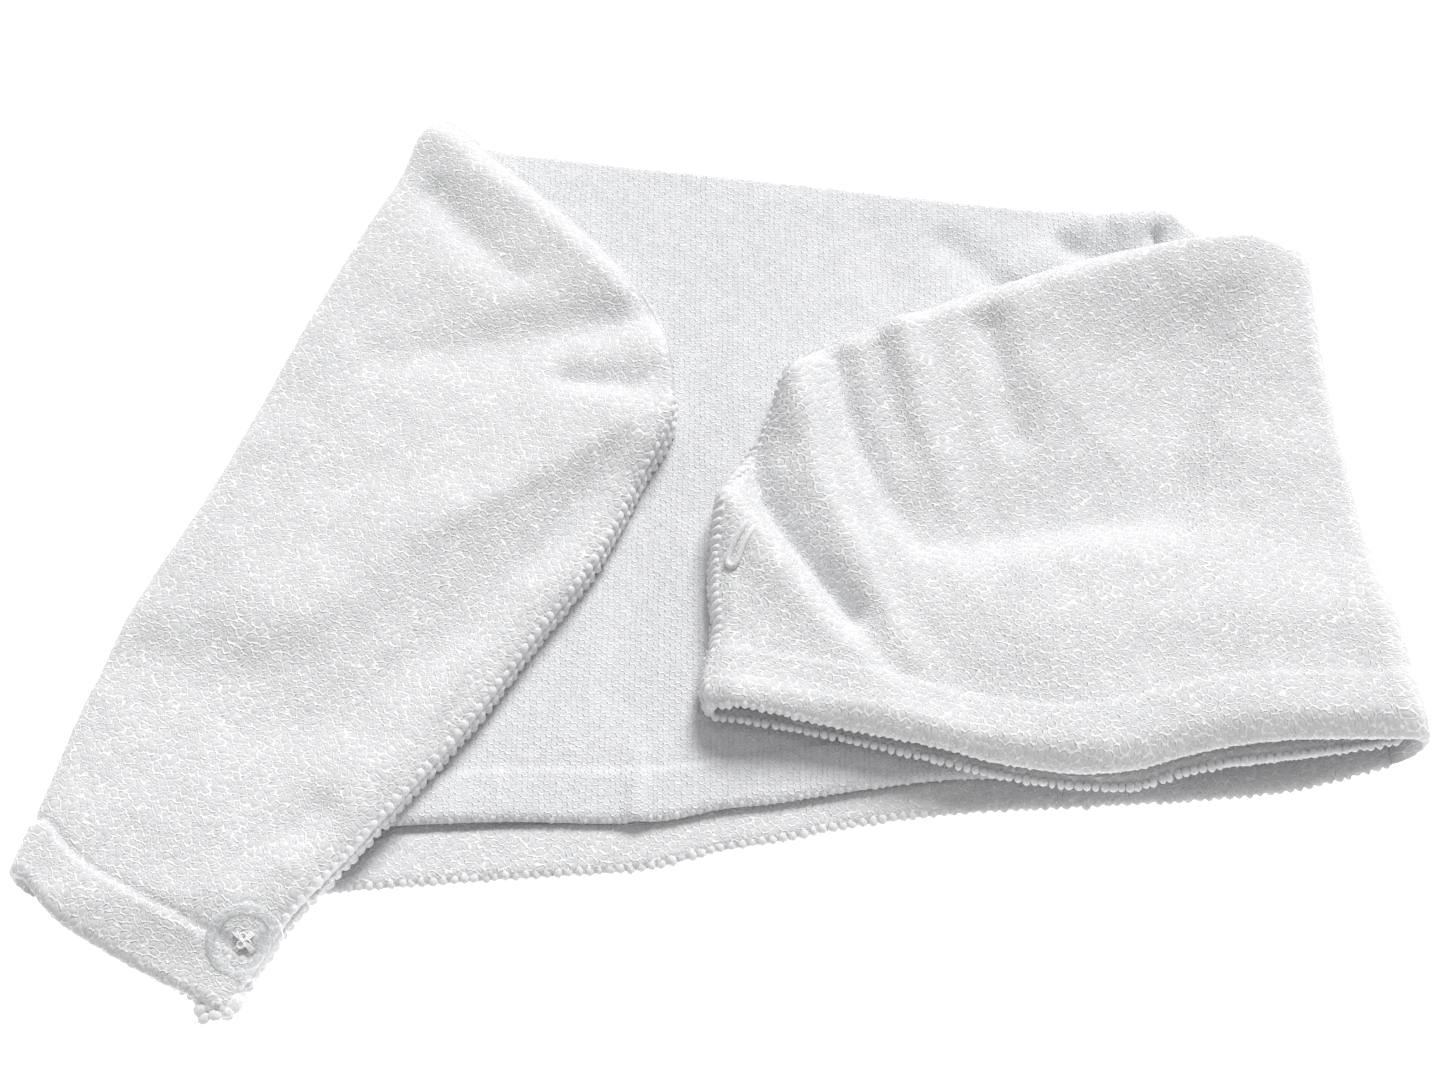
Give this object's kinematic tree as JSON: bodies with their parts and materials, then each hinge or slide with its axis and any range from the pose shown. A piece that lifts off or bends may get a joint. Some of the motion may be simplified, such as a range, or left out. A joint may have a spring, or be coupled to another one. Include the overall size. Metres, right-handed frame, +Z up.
{
  "type": "hair turban towel",
  "caption": "Terry hair turban towel, a flat two-layer hood with an open hem, laid down with both ends folded over its front; a button and a loop fasten it.",
  "frame": {"origin": "middle of the towel's outline, on the surface that it lies on", "axes": "+X along the longest extent, from the wide end towards the tail; +Y from the open hem towards the top fold; +Z up, out of the surface"},
  "size_m": [0.3674, 0.2812, 0.0169],
  "materials": {
    "terry": "matte looped pile",
    "hem_terry": "matte looped pile, turned in and stitched",
    "seam_thread": "overcast thread",
    "clear_plastic": "clear, polished",
    "sewing_thread": "twisted thread",
    "elastic_cord": "braided elastic cord"
  },
  "bodies": {
    "root": {"back_panel": "terry", "front_panel": "terry", "back_hem": "hem_terry", "front_hem": "hem_terry", "tail_seam": "seam_thread", "wide_seam": "seam_thread", "button": "clear_plastic", "button_thread": "sewing_thread", "button_loop": "elastic_cord"}
  },
  "joints": []
}
